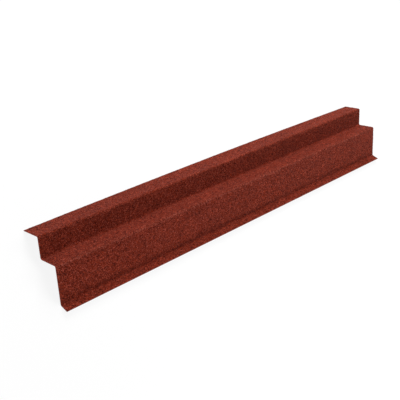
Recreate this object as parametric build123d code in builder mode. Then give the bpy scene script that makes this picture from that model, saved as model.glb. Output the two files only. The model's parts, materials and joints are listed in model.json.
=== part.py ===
"""Eaves flashing: one strip of stone-coated steel sheet, folded four times into a stepped section.

The section is drawn as it hangs on a roof, looking along the eaves: u runs back under the roof and
v runs up.  From its back edge the strip is a top flange, an upper riser, a tread, a drop over the
fascia board and a drip lip that kicks out.  The part is then laid down as it rests by itself on a
level floor: coated face up, on the flange's back edge and on the fold above the lip.

Frame: X along the eaves, +Y towards the flange, +Z up, origin at the bottom centre.  Millimetres.
"""

import os
from math import asin, atan2, cos, degrees, hypot, radians, sin

from build123d import *

# Sizes of the coated face, from sharp corner to sharp corner
length = 1250.0
flange_depth = 54.0
riser_height = 54.0
tread_depth = 54.0
drop_height = 95.0
lip_width = 21.5
lip_slope = 22.0  # degrees below level

# The sheet: steel with its stone chip coat, and the bending tool's nose
sheet_thickness = 1.6
bend_radius = 3.0  # on the inside of every fold

# A fold is tight on its hollow side and wider by the sheet on its round side
hollow_radius = bend_radius
round_radius = bend_radius + sheet_thickness

# Corners of the coated face, in section coordinates, with the fold of riser and tread at zero
slope = radians(lip_slope)
flange_edge = (flange_depth, riser_height)
flange_fold = (0, riser_height)
tread_fold = (0, 0)
drop_fold = (-tread_depth, 0)
lip_fold = (-tread_depth, -drop_height)
lip_edge = (lip_fold[0] - lip_width * cos(slope), lip_fold[1] - lip_width * sin(slope))

# The section: the coated face with its four folds, and the bare face one sheet behind it
with BuildSketch() as section:
    with BuildLine():
        coated_face = FilletPolyline(
            flange_edge,
            flange_fold,
            tread_fold,
            drop_fold,
            lip_fold,
            lip_edge,
            radius=[round_radius, hollow_radius, round_radius, hollow_radius],
        )
        offset(coated_face, amount=sheet_thickness, side=Side.LEFT)
    make_face()

# The floor line touches the flange's lower edge and is tangent to the round side of the lip's fold
rest_edge = (flange_edge[0], flange_edge[1] - sheet_thickness)
lip_bend_centre = (
    lip_fold[0] - hollow_radius,
    lip_fold[1] + hollow_radius * (1 - sin(slope)) / cos(slope),
)
span = (rest_edge[0] - lip_bend_centre[0], rest_edge[1] - lip_bend_centre[1])
lay_turn = atan2(span[1], span[0]) + asin(round_radius / hypot(*span))

# The plane that lays the section on the floor, centred over the origin
laid = section.sketch.rotate(Axis.Z, -degrees(lay_turn)).bounding_box()
laid_plane = Plane(
    origin=(0, -laid.center().X, -laid.min.Y),
    x_dir=(0, cos(lay_turn), -sin(lay_turn)),
    z_dir=(1, 0, 0),
)

# The strip itself, to its full length
with BuildPart() as eaves_flashing:
    with BuildSketch(laid_plane):
        add(section.sketch)
    extrude(amount=length / 2, both=True)

eaves_flashing.part.label = "eaves_flashing"
os.makedirs("parts", exist_ok=True)
export_step(eaves_flashing.part, "parts/eaves_flashing.step")

print("laid at", round(degrees(lay_turn), 3), "degrees")
print("box", eaves_flashing.part.bounding_box())
print("volume", round(eaves_flashing.part.volume), "mm3")
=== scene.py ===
# %% [markdown]
# # An eaves flashing with a stone chip coat
#
# An eaves flashing is a strip of thin steel that closes the lower edge of a roof.  Its flange is
# nailed down under the first tiles, a step follows the fascia board, and a lip at the bottom throws
# the rain clear.  The outer face is covered with coloured stone chips, glued on before the sheet is
# folded.  The plain solid already has the true section.  This lesson gives it the grain of the chips,
# the bare metal at the back, the cut edges and a soft studio light.

import json
from math import atan2, cos, degrees, pi, radians, sin

import bpy
import numpy as np
from mathutils import Matrix, Vector


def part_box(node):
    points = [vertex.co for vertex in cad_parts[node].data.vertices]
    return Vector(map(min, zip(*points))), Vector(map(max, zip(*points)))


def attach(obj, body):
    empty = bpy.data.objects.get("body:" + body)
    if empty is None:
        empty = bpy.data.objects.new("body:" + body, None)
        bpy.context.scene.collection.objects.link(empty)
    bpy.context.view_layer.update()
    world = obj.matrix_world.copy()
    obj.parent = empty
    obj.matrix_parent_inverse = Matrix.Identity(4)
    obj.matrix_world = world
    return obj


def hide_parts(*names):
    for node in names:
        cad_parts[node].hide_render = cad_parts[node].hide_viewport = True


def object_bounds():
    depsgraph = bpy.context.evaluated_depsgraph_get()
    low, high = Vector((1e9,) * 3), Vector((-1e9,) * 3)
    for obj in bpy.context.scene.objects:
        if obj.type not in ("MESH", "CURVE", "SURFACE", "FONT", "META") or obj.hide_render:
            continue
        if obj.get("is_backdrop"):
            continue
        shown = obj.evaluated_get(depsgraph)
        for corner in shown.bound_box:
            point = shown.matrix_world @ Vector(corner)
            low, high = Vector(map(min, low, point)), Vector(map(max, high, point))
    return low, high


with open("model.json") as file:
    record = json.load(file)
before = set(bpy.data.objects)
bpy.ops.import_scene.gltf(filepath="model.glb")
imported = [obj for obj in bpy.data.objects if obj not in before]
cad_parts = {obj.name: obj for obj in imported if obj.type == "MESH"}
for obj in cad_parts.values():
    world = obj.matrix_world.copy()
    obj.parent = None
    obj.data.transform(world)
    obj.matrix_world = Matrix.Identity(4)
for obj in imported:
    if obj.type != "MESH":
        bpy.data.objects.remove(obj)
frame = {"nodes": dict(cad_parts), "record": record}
cad_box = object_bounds()
MM = 0.001
print("solids:", sorted(frame["nodes"]))
print("their box in mm:", [round(v / MM, 2) for v in cad_box[1] - cad_box[0]])

# %% [markdown]
# ## The section as a walk
#
# A folded sheet is one line that only changes direction at its folds.  It could be drawn with points
# and arcs by hand, but a walk is shorter: go straight along a flat, turn evenly through a fold, go
# straight again.  The heading is then a chart over the distance walked, with a level stretch for each
# flat and a ramp for each fold, and numpy reads it for all points at once.

# %% Flats and folds
sheet_thickness = 1.6 * MM
steel_thickness = 0.45 * MM
coat_thickness = sheet_thickness - steel_thickness
hollow_radius = 3.0 * MM
round_radius = hollow_radius + sheet_thickness

# Flange, riser, tread, drop and lip of the coated face, from sharp corner to sharp corner
flats = np.array([54.0, 54.0, 54.0, 95.0, 21.5]) * MM
# The folds between them, positive where the coated face is on the outside of the bend
turns = np.radians([90, -90, 90, -68])

radii = np.where(turns > 0, round_radius, hollow_radius)
setbacks = radii * np.tan(np.abs(turns) / 2)
runs = flats - np.append(setbacks, 0) - np.append(0, setbacks)
arcs = radii * np.abs(turns)

# Runs and arcs in turn, and the distance and the heading at each place where one ends
spans = np.insert(runs, np.arange(1, len(runs)), arcs)
stations = np.append(0, np.cumsum(spans))
start_heading = pi
headings = start_heading + np.repeat(np.append(0, np.cumsum(turns)), 2)
print("sheet before folding:", round(stations[-1] / MM, 1), "mm wide")


# %% Walk along the section
def walk(s):
    """Points (u, v) and outward normals of the coated face at the distances s from the flange's edge.

    The heading at s is read from the chart of headings.  Each step goes along the heading at its
    middle and is as long as the chord of its arc, so the running sum of the steps is exact.  The
    normal is the heading turned a quarter to the right.
    """
    heading = np.interp(s, stations, headings)
    turn = np.diff(heading)
    middle = heading[:-1] + turn / 2
    chord = np.diff(s) * np.sinc(turn / (2 * pi))
    steps = chord[:, None] * np.stack([np.cos(middle), np.sin(middle)], 1)
    points = np.vstack([np.zeros(2), np.cumsum(steps, 0)])
    normals = np.stack([np.sin(heading), -np.cos(heading)], 1)
    return points, normals


def spread(flat_step, fold_step):
    """Distances along the section, about flat_step apart on flats and fold_step apart in folds.

    Every run and arc is divided evenly, so its two ends are always among the distances.
    """
    step = np.where(np.arange(len(spans)) % 2 == 0, flat_step, fold_step)
    counts = np.maximum(1, np.round(spans / step)).astype(int)
    parts = [np.linspace(a, b, n, endpoint=False) for a, b, n in zip(stations, stations[1:], counts)]
    return np.append(np.concatenate(parts), stations[-1])


s_coat = spread(flat_step=2.3 * MM, fold_step=1.2 * MM)
face_points, face_normals = walk(s_coat)
print("points across the coated face:", len(s_coat))

# %% [markdown]
# ## Laying the section on the floor
#
# The strip lies on the flange's back edge and on the fold above the lip, coated face up.  The turn
# could be worked out again from the sizes, but the record of the solid already says it: the seat
# under the flange has an axis, which points straight down in the section.  The lowest corner of the
# solid's box then says where the section goes.

# %% From section to floor
seats = {mount["name"]: mount for mount in frame["record"]["mounts"]}
down = Vector(seats["batten_seat"]["axis"])
lay_turn = atan2(-down.y, -down.z)
to_floor = np.array([[cos(lay_turn), sin(lay_turn)], [-sin(lay_turn), cos(lay_turn)]])

bare_points = face_points - sheet_thickness * face_normals
outline = np.vstack([face_points, bare_points]) @ to_floor.T
solid_low, solid_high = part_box("eaves_flashing")
section_shift = np.array(solid_low.yz) - outline.min(0)
strip_length = solid_high.x - solid_low.x
misfit = np.abs(outline.max(0) + section_shift - np.array(solid_high.yz)).max()
print("turned by", round(degrees(lay_turn), 2), "degrees")
print("section and solid differ by", round(misfit / MM, 4), "mm")

# %% [markdown]
# ## The grain of the coat
#
# The chips are crushed stone of one to two millimetres, so the coat is a rough field of bumps.  Real
# chips could be scattered one by one, but a strip of this size carries about two hundred thousand.  A
# grid nearly as fine as the chips, with each point pushed in or out by chance, gives the same rough edge
# and shade for far fewer faces.  A slower wave of the same kind stands for thin and thick patches.

# %% Fields of chance
rng = np.random.default_rng(seed=7)
columns = 560
grid = (len(s_coat), columns + 1)


def cloud(reach):
    """A field of smooth chance values, one for each point of the coat's grid, with a spread of one.

    White noise is turned into waves, each wave is weakened by a bell curve of its frequency, and the
    waves are added up again, so only bumps of about that reach, in points of the grid, are left.
    """
    waves = np.fft.rfft2(rng.standard_normal(grid))
    across = np.fft.fftfreq(grid[0])[:, None]
    along = np.fft.rfftfreq(grid[1])[None, :]
    bell = np.exp(-2 * (pi * reach) ** 2 * (across**2 + along**2))
    field = np.fft.irfft2(waves * bell, s=grid)
    return field / field.std()


chip_height = 0.16 * MM
patch_height = 0.07 * MM
sunk = 0.1 * MM  # the solid's face is level with the higher chips
deepest, highest = -0.5 * MM, 0.3 * MM
relief = chip_height * cloud(reach=0.35) + patch_height * cloud(reach=2.5) - sunk
relief = np.clip(relief, deepest, highest)
print("relief from", round(relief.min() / MM, 2), "to", round(relief.max() / MM, 2), "mm")

# %% [markdown]
# ## Carrying the section along the strip
#
# The closed outline of the section is carried along X: the coated face, the cut edge of the lip, the
# bare face back to the flange and the flange's own cut edge.  The cut edges have two bands, the coat
# and the steel behind it.  Points of the coat are also shifted a little within the sheet, because a
# regular grid would show as rows.  The flange's free edge is not quite straight: it bows by a few
# millimetres over the length, as the edge of a thin sheet does.

# %% Points of the folded sheet
x_even = np.linspace(solid_low.x, solid_high.x, columns + 1)
edge_bow = 4.1 * MM


def bow(s):
    """How far the flange is lifted off its plane: most at its free edge in mid-length.

    The lift grows with the square of the distance from the first fold, and along the strip it is half
    a wave of a cosine.
    """
    to_fold = np.clip(1 - s / stations[1], 0, 1)[:, None]
    return edge_bow * to_fold**2 * np.cos(pi * x_even / strip_length)[None, :]


def rows(s, depth, relief=0.0, shift=0.0, x=x_even):
    """Points of the sheet at the distances s and a depth below the coated face, a row for each s.

    A point is the section's point, moved along the normal by bow and relief less depth and along the
    sheet by shift, then turned and moved to its place on the floor.
    """
    around = np.union1d(s, stations)
    points, normals = walk(around)
    chosen = np.searchsorted(around, s)
    point = points[chosen][:, None, :]
    normal = normals[chosen][:, None, :]
    heading = np.stack([-normal[..., 1], normal[..., 0]], -1)
    shape = (len(s), columns + 1)
    height = np.broadcast_to(bow(s) + relief - depth, shape)[..., None]
    shift = np.broadcast_to(shift, shape)[..., None]
    place = (point + height * normal + shift * heading) @ to_floor.T + section_shift
    return np.concatenate([np.broadcast_to(x, shape)[..., None], place], -1)


print("the flange's edge bows by", round(bow(s_coat).max() / MM, 1), "mm")

# %% Rows around the section
# The coat's points are shifted by chance, except at the four edges of the sheet
inside = np.ones(grid)
inside[[0, -1], :] = 0
inside[:, [0, -1]] = 0
most_shift = 0.28  # in parts of a step of the grid
x_coat = x_even + most_shift * strip_length / columns * inside * rng.uniform(-1, 1, grid)
s_shift = most_shift * np.gradient(s_coat)[:, None] * inside * rng.uniform(-1, 1, grid)

# At both ends the coat is a little ragged, where the shears broke chips away
ragged = 0.6 * MM
x_coat[:, 0] += ragged * rng.random(grid[0]) ** 2
x_coat[:, -1] -= ragged * rng.random(grid[0]) ** 2

# The bare face takes all points of the coat in folds, and few of those on flats
in_fold = np.diff(np.interp(s_coat, stations, headings), prepend=start_heading) != 0
in_fold[:-1] |= in_fold[1:]
flat_stride = 8
kept = in_fold | (np.arange(grid[0]) % flat_stride == 0)
kept[-1] = True
bare_index = np.flatnonzero(kept)

coat_rows = rows(s_coat, 0, relief, s_shift, x_coat)
lip_seam = rows(s_coat[-1:], coat_thickness)
bare_rows = rows(s_coat[bare_index][::-1], sheet_thickness)
flange_seam = rows(s_coat[:1], coat_thickness)
ring = np.concatenate([coat_rows, lip_seam, bare_rows, flange_seam])
print("rows around the section:", len(ring), "with", columns + 1, "points each")

# %% [markdown]
# ## Faces and ends
#
# Neighbouring rows are joined by four-sided faces, and the last row joins the first, so the strip is
# a closed tube.  Each end shows the sheet's thickness: a band of coat and a thin line of steel.  A
# single face could close an end, but then both would share one finish.  So the line between the two
# is one more row of points across the section.  The bare face has fewer points than that line, so a
# face of the steel's band takes in all points of the line between two points of the bare face.

# %% Faces around the strip
COAT, BARE, CUT = range(3)
lip_row = grid[0]
bare_row = lip_row + 1
flange_row = bare_row + len(bare_index)

row_starts = np.arange(len(ring)) * (columns + 1)
here = row_starts[:, None] + np.arange(columns)
there = np.roll(row_starts, -1)[:, None] + np.arange(columns)
tube = np.stack([here, there, there + 1, here + 1], -1).reshape(-1, 4)

band_finish = np.full(len(ring), COAT)
band_finish[bare_row : flange_row - 1] = BARE
band_finish[[lip_row, flange_row - 1]] = CUT
tube_finish = np.repeat(band_finish, columns)
print("faces around the strip:", len(tube))


# %% Faces that close the ends
def end_faces(column, first_inner):
    """The coat's band and the steel's band at one end, as lists of corners, seen from the low end of X.

    The coat's band joins each step of the coated face to the same step of the inner line.  The steel's
    band joins each step of the bare face to the stretch of the inner line that lies over it.
    """
    column_points = row_starts + column
    inner = np.arange(first_inner, first_inner + grid[0] - 2)
    line = np.concatenate([[column_points[flange_row]], inner, [column_points[lip_row]]])
    coat = column_points[: grid[0]]
    bare = column_points[bare_row:flange_row][::-1]
    coat_band = np.stack([coat[:-1], line[:-1], line[1:], coat[1:]], 1).tolist()
    steel_band = [
        [*line[a : b + 1][::-1].tolist(), int(bare[k]), int(bare[k + 1])]
        for k, (a, b) in enumerate(zip(bare_index, bare_index[1:]))
    ]
    return coat_band, steel_band


inner_rows = rows(s_coat[1:-1], coat_thickness)
points = [ring.reshape(-1, 3)]
faces = tube.tolist()
finishes = [tube_finish]
for column, turned_round in ((0, False), (columns, True)):
    coat_band, steel_band = end_faces(column, sum(map(len, points)))
    points.append(inner_rows[:, column])
    caps = coat_band + steel_band
    faces += [cap[::-1] for cap in caps] if turned_round else caps
    finishes.append(np.repeat([COAT, CUT], [len(coat_band), len(steel_band)]))
points = np.concatenate(points)
finishes = np.concatenate(finishes)
print("points:", len(points), "faces:", len(faces))

# %% [markdown]
# ## The mesh
#
# from_pydata takes points and faces as they are.  The coat's own bumps are shaded smooth, while the
# sheet's cut edges stay sharp: an angle between the two tells Blender which is which.  The volume
# inside the faces is a good test: it is only right when the mesh is closed and every face points out.

# %% Build the strip
sharp_angle = radians(55)
mesh = bpy.data.meshes.new("eaves_flashing_strip")
mesh.from_pydata(points, [], faces)
mesh.polygons.foreach_set("material_index", finishes.astype(np.int32))
mesh.polygons.foreach_set("use_smooth", np.ones(len(faces), bool))
mesh.set_sharp_from_angle(angle=sharp_angle)
mesh.update()

strip = bpy.data.objects.new("eaves_flashing_strip", mesh)
bpy.context.scene.collection.objects.link(strip)
mesh.calc_loop_triangles()
corners = np.empty(len(mesh.loop_triangles) * 3, np.int32)
mesh.loop_triangles.foreach_get("vertices", corners)
a, b, c = points[corners.reshape(-1, 3)].transpose(1, 0, 2)
volume = np.einsum("ij,ij->i", a, np.cross(b, c)).sum() / 6
print("triangles:", len(mesh.loop_triangles), "volume:", round(volume / MM**3), "mm3")

# %% [markdown]
# ## Where the coat wears, and where a highlight is painted
#
# The coat is not the same all over.  Along a cut the shears have knocked chips off, and on the two
# ridges a pale highlight is painted into the colour, most of all on the front one.  A finish could look
# for such places by itself, but the mesh knows them: each point keeps its distance from the nearest
# cut and how strong the painted highlight is there, and the finish reads both by name.

# %% Distance from a cut, and the painted ridge highlight
s_ring = np.concatenate([s_coat, s_coat[-1:], s_coat[bare_index][::-1], s_coat[:1]])
to_side = np.minimum(s_ring, stations[-1] - s_ring)[:, None]
to_end = (strip_length / 2 - np.abs(x_even))[None, :]
to_cut = np.minimum(to_side, to_end)

# The painted highlight on a ridge is strongest at one place of its fold, and less by a bell curve on
# both sides of it
ridge_reach = 4.0 * MM
back_ridge, back_highlight = stations[1] + 0.6 * arcs[0], 0.25
front_ridge, front_highlight = stations[5] + 0.7 * arcs[2], 1.0
highlight_strength = sum(
    much * np.exp(-(((s_ring - ridge) / ridge_reach) ** 2))
    for ridge, much in ((back_ridge, back_highlight), (front_ridge, front_highlight))
)
ridge_highlight = np.broadcast_to(highlight_strength[:, None], to_cut.shape)

at_ends = np.zeros(len(points) - to_cut.size)
for name, field in (("to_cut", to_cut), ("ridge_highlight", ridge_highlight)):
    values = np.append(field.ravel(), at_ends).astype(np.float32)
    mesh.attributes.new(name, "FLOAT", "POINT").data.foreach_set("value", values)
    print(name, "from", round(float(values.min()), 4), "to", round(float(values.max()), 4))

# %% [markdown]
# ## Making nodes with few words
#
# A finish is a tree of nodes.  They could be linked by hand, one line for each link, but that is hard
# to read.  Here one call makes a node: its kind, its settings, and for each input either a number or
# the output of another node.


# %% Node helpers
def fill(tree, node, inputs):
    """Sets the inputs of a node: an output of another node is linked, anything else is a plain value."""
    for name, value in inputs.items():
        if isinstance(value, bpy.types.NodeSocket):
            tree.links.new(value, node.inputs[name])
        else:
            node.inputs[name].default_value = value
    return node


def add(tree, kind, inputs=None, **settings):
    """A new shader node of a kind, with its settings and inputs."""
    node = tree.nodes.new("ShaderNode" + kind)
    for name, value in settings.items():
        setattr(node, name, value)
    return fill(tree, node, inputs or {})


def ranged(tree, value, source, target=(0.0, 1.0)):
    """value carried evenly from one range into another, and kept within it."""
    ends = ("From Min", "From Max", "To Min", "To Max")
    inputs = {"Value": value, **dict(zip(ends, (*source, *target)))}
    return add(tree, "MapRange", inputs).outputs["Result"]


def times(tree, first, second):
    """The product of two values."""
    return add(tree, "Math", {0: first, 1: second}, operation="MULTIPLY").outputs[0]


def mixed(tree, factor, first, second, blend="MIX"):
    """A colour between two others: a Mix node, whose colours are its seventh and eighth inputs."""
    node = add(tree, "Mix", {0: factor, 6: first, 7: second}, data_type="RGBA", blend_type=blend)
    return node.outputs[2]


def blended(tree, factor, first, second):
    """A number between two others: a Mix node, whose numbers are its third and fourth inputs."""
    return add(tree, "Mix", {0: factor, 2: first, 3: second}, data_type="FLOAT").outputs[0]


def parted(tree, colour):
    """The red, green and blue of a colour, here three chance values."""
    return add(tree, "SeparateColor", {"Color": colour}).outputs


helpers = (fill, add, ranged, times, mixed, blended, parted)
print("helpers:", [helper.__name__ for helper in helpers])

# %% [markdown]
# ## Chips and mottling as node groups
#
# Two effects are used again and again, so each is built once as a node group and then placed with its
# own values.  Chips are the cells of a Voronoi texture, bent out of shape by noise, as crushed stone
# is.  Mottling is the slow cloudy change that every rolled, sprayed or glued face has.


# %% Group helpers
def new_group(name, inputs, outputs):
    """An empty node group; returns its tree, the sockets that come in and those that go out.

    An input with a number is a value, and one without is a vector.  Outputs name their own kind.
    """
    tree = bpy.data.node_groups.new(name, "ShaderNodeTree")
    for socket, value in inputs.items():
        kind = "NodeSocketVector" if value is None else "NodeSocketFloat"
        made = tree.interface.new_socket(socket, in_out="INPUT", socket_type=kind)
        if value is not None:
            made.default_value = value
    for socket, kind in outputs.items():
        tree.interface.new_socket(socket, in_out="OUTPUT", socket_type="NodeSocket" + kind)
    print("group:", name, "from", list(inputs), "to", list(outputs))
    return tree, tree.nodes.new("NodeGroupInput").outputs, tree.nodes.new("NodeGroupOutput").inputs


def place_group(tree, group, inputs):
    """The outputs of a group that is placed in a tree with the given inputs."""
    return fill(tree, add(tree, "Group", node_tree=group), inputs).outputs


# %% Stone chips
bends_per_metre = 900.0


def make_chips():
    """Chips per metre and bending in metres go in; three chance values and the dome of a chip come out.

    Each place is first pushed by noise, up to half the bending either way.  The chip is the Voronoi
    cell it then falls in.  The dome is the distance from the cell's edge, in parts of a chip.
    """
    inputs = {"Vector": None, "Per Metre": 800.0, "Bend": 0.0005}
    tree, given, out = new_group("stone_chips", inputs, {"Chance": "Color", "Dome": "Float"})
    noise = add(tree, "TexNoise", {"Vector": given["Vector"], "Scale": bends_per_metre, "Detail": 1.0})
    half = {0: noise.outputs["Color"], 1: (0.5, 0.5, 0.5)}
    centred = add(tree, "VectorMath", half, operation="SUBTRACT").outputs[0]
    push = add(tree, "VectorMath", {0: centred, "Scale": given["Bend"]}, operation="SCALE").outputs[0]
    bent = add(tree, "VectorMath", {0: given["Vector"], 1: push}).outputs[0]

    cells = {"Vector": bent, "Scale": given["Per Metre"]}
    chip = add(tree, "TexVoronoi", cells, feature="F1")
    edge = add(tree, "TexVoronoi", cells, feature="DISTANCE_TO_EDGE")
    tree.links.new(chip.outputs["Color"], out["Chance"])
    tree.links.new(edge.outputs["Distance"], out["Dome"])
    return tree


stone_chips = make_chips()


# %% Mottling
noise_range = (0.3, 0.7)  # where most values of a noise lie


def make_mottling():
    """A cloudy value around a half: the size of its patches in metres goes in, the value comes out."""
    tree, given, out = new_group("mottling", {"Vector": None, "Patch": 0.03}, {"Value": "Float"})
    per_metre = add(tree, "Math", {0: 1.0, 1: given["Patch"]}, operation="DIVIDE").outputs[0]
    inputs = {"Vector": given["Vector"], "Scale": per_metre, "Detail": 3.0, "Roughness": 0.55}
    tree.links.new(add(tree, "TexNoise", inputs).outputs["Fac"], out["Value"])
    return tree


mottling = make_mottling()

# %% [markdown]
# ## Two layers of chips
#
# The stone is sieved, but its chips still differ in size, and the larger ones stand out over the rest.
# One texture of cells would make them all alike.  So there are two: small chips cover everything, and
# two in five of the large cells are filled with a chip that hides the small ones under it.

# %% Layers of chips
small_per_metre, small_bend = 830.0, 0.6 * MM
large_per_metre, large_bend = 520.0, 0.9 * MM
large_chance = (0.60, 0.61)  # a large cell with a chance above this is filled

# Distances from a chip's edge, in parts of a chip, and what they turn into
large_rim = (0.03, 0.06)
small_dome, small_height = (0.0, 0.35), (0.0, 0.55)
large_dome, large_height = (0.0, 0.30), (0.30, 1.0)
# Close to a chip's edge the gap between chips gets nearly black painted shade
gap_shade_reach, gap_shade_shares = (0.02, 0.14), (0.7, 0.0)


def chip_layers(tree, place):
    """Three chance values of the chip on top, its height, and how much painted shade lies in the gap at
    its edge.

    A large chip lies on top where its own chance value is high and the place is well inside its edge.
    The height is the dome of the chip on top, higher for a large one.  Painted shade darkens the gaps
    close to the edge.
    """
    small_inputs = {"Vector": place, "Per Metre": small_per_metre, "Bend": small_bend}
    large_inputs = {"Vector": place, "Per Metre": large_per_metre, "Bend": large_bend}
    small = place_group(tree, stone_chips, small_inputs)
    large = place_group(tree, stone_chips, large_inputs)
    filled = ranged(tree, parted(tree, large["Chance"])["Blue"], large_chance)
    on_top = times(tree, filled, ranged(tree, large["Dome"], large_rim))
    chance = parted(tree, mixed(tree, on_top, small["Chance"], large["Chance"]))

    low = ranged(tree, small["Dome"], small_dome, small_height)
    high = ranged(tree, large["Dome"], large_dome, large_height)
    height = blended(tree, on_top, low, high)
    from_edge = blended(tree, on_top, small["Dome"], large["Dome"])
    gap_shade_share = ranged(tree, from_edge, gap_shade_reach, gap_shade_shares)
    return chance, height, gap_shade_share


sizes = [round(1 / per_metre / MM, 1) for per_metre in (small_per_metre, large_per_metre)]
print("chips of about", sizes, "mm")

# %% [markdown]
# ## Colours of the chips
#
# Seen close, the coat is a mix of nearly black, brick red and a few bright chips.  From a step away it
# reads as one warm terracotta with a fine speckle.  Mixing two colours by noise would look like paint,
# so a ramp gives each chip one of those colours by its chance value.  The glaze on them is uneven, so
# some are paler than others, and whole patches are a little lighter or darker.

# %% Colours
chip_colours = (
    (0.00, (0.035, 0.0019, 0.0005, 1)),
    (0.22, (0.065, 0.0045, 0.0013, 1)),
    (0.34, (0.170, 0.0184, 0.0075, 1)),
    (0.66, (0.235, 0.0295, 0.0134, 1)),
    (0.78, (0.345, 0.0514, 0.0267, 1)),
    (1.00, (0.430, 0.0708, 0.0397, 1)),
)
# Nearly black painted shade for the gaps between the chips
gap_shade_colour = (0.045, 0.009, 0.006, 1)
tint_shift = (-0.15, 0.15)
glaze_depth = (0.945, 1.055)
patch_shade = (0.90, 1.10)


def ramp_colour(tree, value, colours):
    """The colour at a value on a ramp, which goes evenly from each colour's position to the next."""
    ramp = add(tree, "ValToRGB", {"Fac": value})
    stops = ramp.color_ramp.elements
    while len(stops) < len(colours):
        stops.new(0.5)
    for stop, (position, colour) in zip(stops, colours):
        stop.position = position
        stop.color = colour
    return ramp.outputs["Color"]


def chip_colour(tree, chance, clumps, clouds, gap_shade_share):
    """The colour of a chip: one of the ramp's, made paler or deeper, lighter or darker, and painted
    shade in the gaps.

    Chips of one colour tend to lie together, so the clumps shift the chance value a little.
    """
    shift = ranged(tree, clumps, noise_range, tint_shift)
    tint = add(tree, "Math", {0: chance["Red"], 1: shift}, use_clamp=True).outputs[0]
    stone = ramp_colour(tree, tint, chip_colours)
    depth = ranged(tree, chance["Green"], (0.0, 1.0), glaze_depth)
    glazed = add(tree, "HueSaturation", {"Saturation": depth, "Color": stone}).outputs["Color"]
    shade = ranged(tree, clouds, noise_range, patch_shade)
    shaded = mixed(tree, 1.0, glazed, shade, blend="MULTIPLY")
    # Painted shade darkens the gaps between the chips
    return mixed(tree, gap_shade_share, shaded, gap_shade_colour)


print("chip colours from", chip_colours[0][1][:3], "to", chip_colours[-1][1][:3])

# %% [markdown]
# ## Wear of the coat, and a painted highlight
#
# Wear follows what the shears did, and the ridges get a painted highlight.  On a ridge only the tops
# of the chips are painted pale as a highlight, and in patches.  Beside a cut the chips are partly gone,
# and the base coat that they were pressed into shows, which has nearly their colour.

# %% Painted ridge highlight and knocked edges
base_coat_colour = (0.210, 0.040, 0.026, 1)
# The pale colour of the painted highlight on the chips' tops along the ridges
highlight_colour = (0.46, 0.14, 0.105, 1)
top_height, top_highlight = (0.25, 0.75), (0.0, 0.65)
highlight_clumps, highlight_shares = (0.40, 0.60), (0.2, 1.0)
knocked_reach, knocked_shares = (0.4 * MM, 2.0 * MM), (0.5, 0.0)


def worn_and_highlit_colour(tree, colour, height, clumps):
    """The coat's colour with a painted highlight on the chips' tops at the ridges, and base coat beside
    the cuts.

    The painted highlight is the product of its strength at the place, the height of the chip and the
    patches.  Base coat shows most at a cut and fades out evenly with the distance from it.
    a cut and fades out evenly with the distance from it.
    """
    # Painted highlight: chip tops on the ridges are made pale, in patches
    highlight_amount = add(tree, "Attribute", attribute_name="ridge_highlight").outputs["Fac"]
    tops = ranged(tree, height, top_height, top_highlight)
    patches = ranged(tree, clumps, highlight_clumps, highlight_shares)
    highlight_mask = times(tree, highlight_amount, times(tree, tops, patches))
    highlit_coat = mixed(tree, highlight_mask, colour, highlight_colour)

    from_cut = add(tree, "Attribute", attribute_name="to_cut").outputs["Fac"]
    knocked = ranged(tree, from_cut, knocked_reach, knocked_shares)
    return mixed(tree, knocked, highlit_coat, base_coat_colour)


# The painted ridge highlight is read by name, as is the distance from a cut
print("wear reads:", [name for name in ("ridge_highlight", "to_cut") if name in mesh.attributes])

# %% [markdown]
# ## The stone chip coat
#
# The parts now come together in one Principled shader.  Stone is rough and hardly glossy, so most of
# its look is colour and relief: the mesh has the larger bumps, and a Bump node adds each chip's own
# dome.  A faint sheen stands for the dust that makes the coat paler when it is seen edge-on.


# %% Coat material
def new_material(name):
    """A material with only a Principled shader in it; returns it, its tree and the shader."""
    material = bpy.data.materials.new(name)
    material.use_nodes = True
    tree = material.node_tree
    tree.nodes.clear()
    shader = add(tree, "BsdfPrincipled")
    add(tree, "OutputMaterial", {"Surface": shader.outputs["BSDF"]})
    return material, tree, shader


clump_patch, shade_patch = 6 * MM, 50 * MM
chip_bump = 0.6 * MM
coat_roughness = (0.62, 0.88)


def make_coat():
    """Layers of chips give colour with painted shade in the gaps, roughness and bump; wear and a painted
    ridge highlight change the colour.
    """
    material, tree, shader = new_material("stone_chip_coat")
    place = add(tree, "TexCoord").outputs["Object"]
    chance, height, gap_shade_share = chip_layers(tree, place)
    clumps = place_group(tree, mottling, {"Vector": place, "Patch": clump_patch})["Value"]
    clouds = place_group(tree, mottling, {"Vector": place, "Patch": shade_patch})["Value"]
    colour = chip_colour(tree, chance, clumps, clouds, gap_shade_share)
    bump = add(tree, "Bump", {"Height": height, "Distance": chip_bump, "Strength": 0.8})
    finish = {
        "Base Color": worn_and_highlit_colour(tree, colour, height, clumps),
        "Roughness": ranged(tree, chance["Green"], (0.0, 1.0), coat_roughness),
        "Normal": bump.outputs["Normal"],
        "Specular IOR Level": 0.02,
        "Sheen Weight": 0.045,
        "Sheen Roughness": 0.4,
    }
    fill(tree, shader, finish)
    return material


coat_material = make_coat()
print("material:", coat_material.name, "with", len(coat_material.node_tree.nodes), "nodes")

# %% [markdown]
# ## The bare back
#
# The back is steel with a thin layer of zinc and aluminium.  It sets in small crystals, each a little
# lighter or darker, and the rolls of the mill leave faint lines.  The strip was cut across the coil,
# so those lines run across it.  Crystals are Voronoi cells, and the lines are noise that is squeezed
# along the strip.

# %% Back material
crystals_per_metre = 330.0
crystal_greys = (0.40, 0.41, 0.42, 1), (0.52, 0.53, 0.54, 1)
lines_per_metre = (900.0, 6.0, 6.0)
line_depth = 0.05 * MM
line_shades, cloud_shades = (0.94, 1.06), (0.90, 1.05)
back_patch = 80 * MM
back_roughness = (0.38, 0.52)


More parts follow.
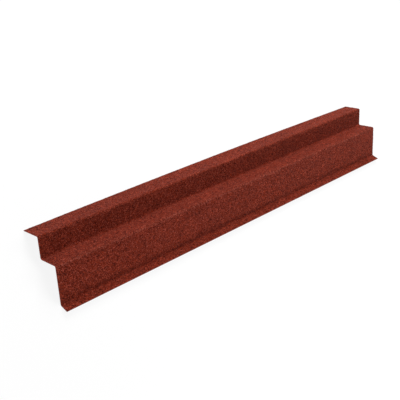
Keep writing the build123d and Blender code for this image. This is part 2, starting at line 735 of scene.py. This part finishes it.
def make_bare():
    """Grey that changes with each crystal, with the lines of the rolls and with slow clouds."""
    material, tree, shader = new_material("zinc_back")
    place = add(tree, "TexCoord").outputs["Object"]
    clouds = place_group(tree, mottling, {"Vector": place, "Patch": back_patch})["Value"]
    cells = {"Vector": place, "Scale": crystals_per_metre}
    crystal = add(tree, "TexVoronoi", cells, feature="F1").outputs["Color"]
    chance = parted(tree, crystal)["Red"]
    squeezed = add(tree, "Mapping", {"Vector": place, "Scale": lines_per_metre}).outputs["Vector"]
    lines = add(tree, "TexNoise", {"Vector": squeezed, "Scale": 1.0, "Detail": 2.0}).outputs["Fac"]

    grey = mixed(tree, chance, *crystal_greys)
    line_shade = ranged(tree, lines, noise_range, line_shades)
    cloud_shade = ranged(tree, clouds, noise_range, cloud_shades)
    lined = mixed(tree, 1.0, grey, line_shade, blend="MULTIPLY")
    bump = add(tree, "Bump", {"Height": lines, "Distance": line_depth, "Strength": 0.4})
    finish = {
        "Base Color": mixed(tree, 1.0, lined, cloud_shade, blend="MULTIPLY"),
        "Roughness": ranged(tree, chance, (0.0, 1.0), back_roughness),
        "Normal": bump.outputs["Normal"],
        "Metallic": 1.0,
    }
    fill(tree, shader, finish)
    return material


bare_material = make_bare()
print("material:", bare_material.name, "with", len(bare_material.node_tree.nodes), "nodes")

# %% [markdown]
# ## The cut steel
#
# A cut shows the grey of fresh steel with the shear's streaks.  The glaze is sprayed last and runs a
# little over the cut, so steel shows only in places.  Where it is glazed it is no longer a metal to
# the eye, so the same mask changes colour and Metallic together.

# %% Cut material
steel_greys = (0.22, 0.21, 0.20, 1), (0.48, 0.47, 0.46, 1)
streaks_per_metre = 1500.0
glaze_colour = (0.230, 0.045, 0.030, 1)
glaze_patch = 12 * MM
glaze_edge = (0.34, 0.56)
steel_metallic, glaze_metallic = 0.9, 0.0
cut_roughness = (0.40, 0.60)


def make_cut():
    """Streaked steel that a cloudy mask covers with glaze."""
    material, tree, shader = new_material("cut_steel")
    place = add(tree, "TexCoord").outputs["Object"]
    clouds = place_group(tree, mottling, {"Vector": place, "Patch": glaze_patch})["Value"]
    fine = {"Vector": place, "Scale": streaks_per_metre, "Detail": 2.0}
    streaks = add(tree, "TexNoise", fine).outputs["Fac"]
    steel = mixed(tree, streaks, *steel_greys)
    glazed = ranged(tree, clouds, glaze_edge)
    finish = {
        "Base Color": mixed(tree, glazed, steel, glaze_colour),
        "Metallic": ranged(tree, glazed, (0.0, 1.0), (steel_metallic, glaze_metallic)),
        "Roughness": ranged(tree, streaks, noise_range, cut_roughness),
    }
    fill(tree, shader, finish)
    return material


cut_material = make_cut()
for material in (coat_material, bare_material, cut_material):
    mesh.materials.append(material)
print("finishes on the strip:", [material.name for material in mesh.materials])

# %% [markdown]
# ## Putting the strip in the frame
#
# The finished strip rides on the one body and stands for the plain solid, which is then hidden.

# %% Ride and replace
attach(strip, "root")
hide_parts("eaves_flashing")
print(strip.name, "rides on root and stands for eaves_flashing")

# %% [markdown]
# ## Floor
#
# The floor is a wide pale sheet.  Lit from above it would never be quite white, and more light would
# wash out the strip.  So the camera and reflections see it with a glow of its own, added to a weaker
# plain shade that keeps the strip's shadow.  Light that only bounces off it meets a plain white floor.
# Far from the strip the glow takes over, so that the floor ends in white.


# %% Floor material
def seen_directly(tree):
    """One for a ray of the camera, a reflection or a view through glass, and zero for bouncing light."""
    path = add(tree, "LightPath").outputs
    seen = path["Is Camera Ray"]
    for kind in ("Is Glossy Ray", "Is Transmission Ray"):
        seen = add(tree, "Math", {0: seen, 1: path[kind]}, operation="MAXIMUM").outputs[0]
    return seen


floor_shade = 0.16
fade = (0.8, 2.4)  # metres from the middle of the floor
bounce_white = (0.80, 0.80, 0.80, 1)


def make_floor():
    """Plain white for bouncing light; as seen, a weak shade that fades with distance, and a glow.

    Shade and glow add up to one at every distance.
    """
    material = bpy.data.materials.new("studio_floor")
    material.use_nodes = True
    tree = material.node_tree
    tree.nodes.clear()
    place = add(tree, "TexCoord").outputs["Object"]
    distance = add(tree, "VectorMath", {0: place}, operation="LENGTH").outputs["Value"]
    glow = ranged(tree, distance, fade, (1 - floor_shade, 1.0))
    shade = ranged(tree, distance, fade, (floor_shade, 0.0))
    lit = add(tree, "BsdfDiffuse", {"Color": shade}).outputs[0]
    light = add(tree, "Emission", {"Strength": glow}).outputs[0]
    as_seen = add(tree, "AddShader", {0: lit, 1: light}).outputs[0]
    for_light = add(tree, "BsdfDiffuse", {"Color": bounce_white}).outputs[0]
    both = add(tree, "MixShader", {0: seen_directly(tree), 1: for_light, 2: as_seen}).outputs[0]
    add(tree, "OutputMaterial", {"Surface": both})
    return material


floor_half = 8.0
floor_mesh = bpy.data.meshes.new("floor")
floor_corners = floor_half * np.array([(-1, -1, 0), (1, -1, 0), (1, 1, 0), (-1, 1, 0)], float)
floor_mesh.from_pydata(floor_corners, [], [(0, 1, 2, 3)])
floor_mesh.materials.append(make_floor())
floor = bpy.data.objects.new("floor", floor_mesh)
bpy.context.scene.collection.objects.link(floor)
floor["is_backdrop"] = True
print("floor:", 2 * floor_half, "m wide")

# %% [markdown]
# ## The world
#
# The strip lies in an even white, as in a light tent, which softens its shadows.  Seen itself, behind
# the floor's edge or in a reflection, the tent is plain white.

# %% World
world_strength = 0.31
world = bpy.data.worlds.new("studio")
world.use_nodes = True
sky = world.node_tree
sky.nodes.clear()
tent = add(sky, "Background", {"Color": (1, 1, 1, 1), "Strength": world_strength}).outputs[0]
white = add(sky, "Background", {"Color": (1, 1, 1, 1), "Strength": 1.0}).outputs[0]
shown = add(sky, "MixShader", {0: seen_directly(sky), 1: tent, 2: white}).outputs[0]
add(sky, "OutputWorld", {"Surface": shown})
bpy.context.scene.world = world
print("world at", world_strength)

# %% [markdown]
# ## Lamps
#
# Parallel faces of the strip differ in brightness, so one lamp is not enough.  A large one behind makes
# flange and tread the brightest.  A weaker one overhead fills all that faces up.  A long low one in
# front lights the drop but not the riser, which lies behind the front ridge and stays the darkest.  A
# small one beyond the near end lights the cut there.


# %% Soft lamps
def soft_lamp(name, place, size, watts):
    """A lamp of the given width and height, at a place in metres, that faces the strip's middle."""
    data = bpy.data.lights.new(name, "AREA")
    data.shape = "RECTANGLE"
    data.size, data.size_y = size
    data.energy = watts
    lamp = bpy.data.objects.new(name, data)
    lamp.location = place
    lamp.rotation_mode = "QUATERNION"
    lamp.rotation_quaternion = Vector(place).to_track_quat("Z", "Y")
    lamp.visible_camera = False
    bpy.context.scene.collection.objects.link(lamp)


lamps = (
    ("lamp_back", (0.40, 1.80, 1.52), (1.4, 1.4), 48.6),
    ("lamp_top", (0.98, 0.00, 1.97), (1.4, 1.4), 14.5),
    ("lamp_front", (0.10, -0.79, 0.14), (2.0, 0.14), 4.2),
    ("lamp_end", (-2.38, -0.12, 0.29), (0.6, 0.6), 20.0),
)
for lamp in lamps:
    soft_lamp(*lamp)
print("lamps:", [lamp[0] for lamp in lamps])

# %% [markdown]
# ## Camera
#
# The view is the one in which the strip looks as it hangs on a roof.  As it lies turned, what was up
# there is a slanted direction here.  The camera is levelled to that direction, then rolled a little.

# %% Camera
camera_aim = Vector((-152.5, 5.2, 25.0)) * MM
camera_distance = 1867.9 * MM
camera_turn = radians(44.58)  # from straight in front towards the near end
camera_rise = radians(21.70)
camera_roll = radians(-3.41)


def hung(along, back, up):
    """A direction along the eaves, back and up as the strip hangs, turned as the strip lies here."""
    return Vector((along, *(to_floor @ (back, up))))


flat_reach = cos(camera_rise)
toward = hung(-sin(camera_turn) * flat_reach, -cos(camera_turn) * flat_reach, sin(camera_rise))
right = hung(0, 0, 1).cross(toward).normalized()
axes = Matrix((right, toward.cross(right), toward)).transposed()
turned = (axes @ Matrix.Rotation(camera_roll, 3, "Z")).to_4x4()
camera_place = camera_aim + camera_distance * toward

camera_data = bpy.data.cameras.new("camera")
camera_data.sensor_width = 36.0
camera_data.lens = 65.19  # millimetres, as the sensor
camera = bpy.data.objects.new("camera", camera_data)
camera.matrix_world = Matrix.Translation(camera_place) @ turned
bpy.context.scene.collection.objects.link(camera)
bpy.context.scene.camera = camera
bpy.context.scene.view_settings.view_transform = "Standard"
print("camera at", [round(v, 3) for v in camera_place])

# %% [markdown]
# ## Sizes and the end
#
# The dressed strip stands for the solid, so how much its box grew over the solid's is printed. The
# dressed strip must stay about as large as the solid it stands for.

# %% Print how much the strip grew, and finish
new_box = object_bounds()
growth = [round(float(v) / MM, 2) for v in (new_box[1] - new_box[0]) - (cad_box[1] - cad_box[0])]
print("the strip is larger than the solid by", growth, "mm")
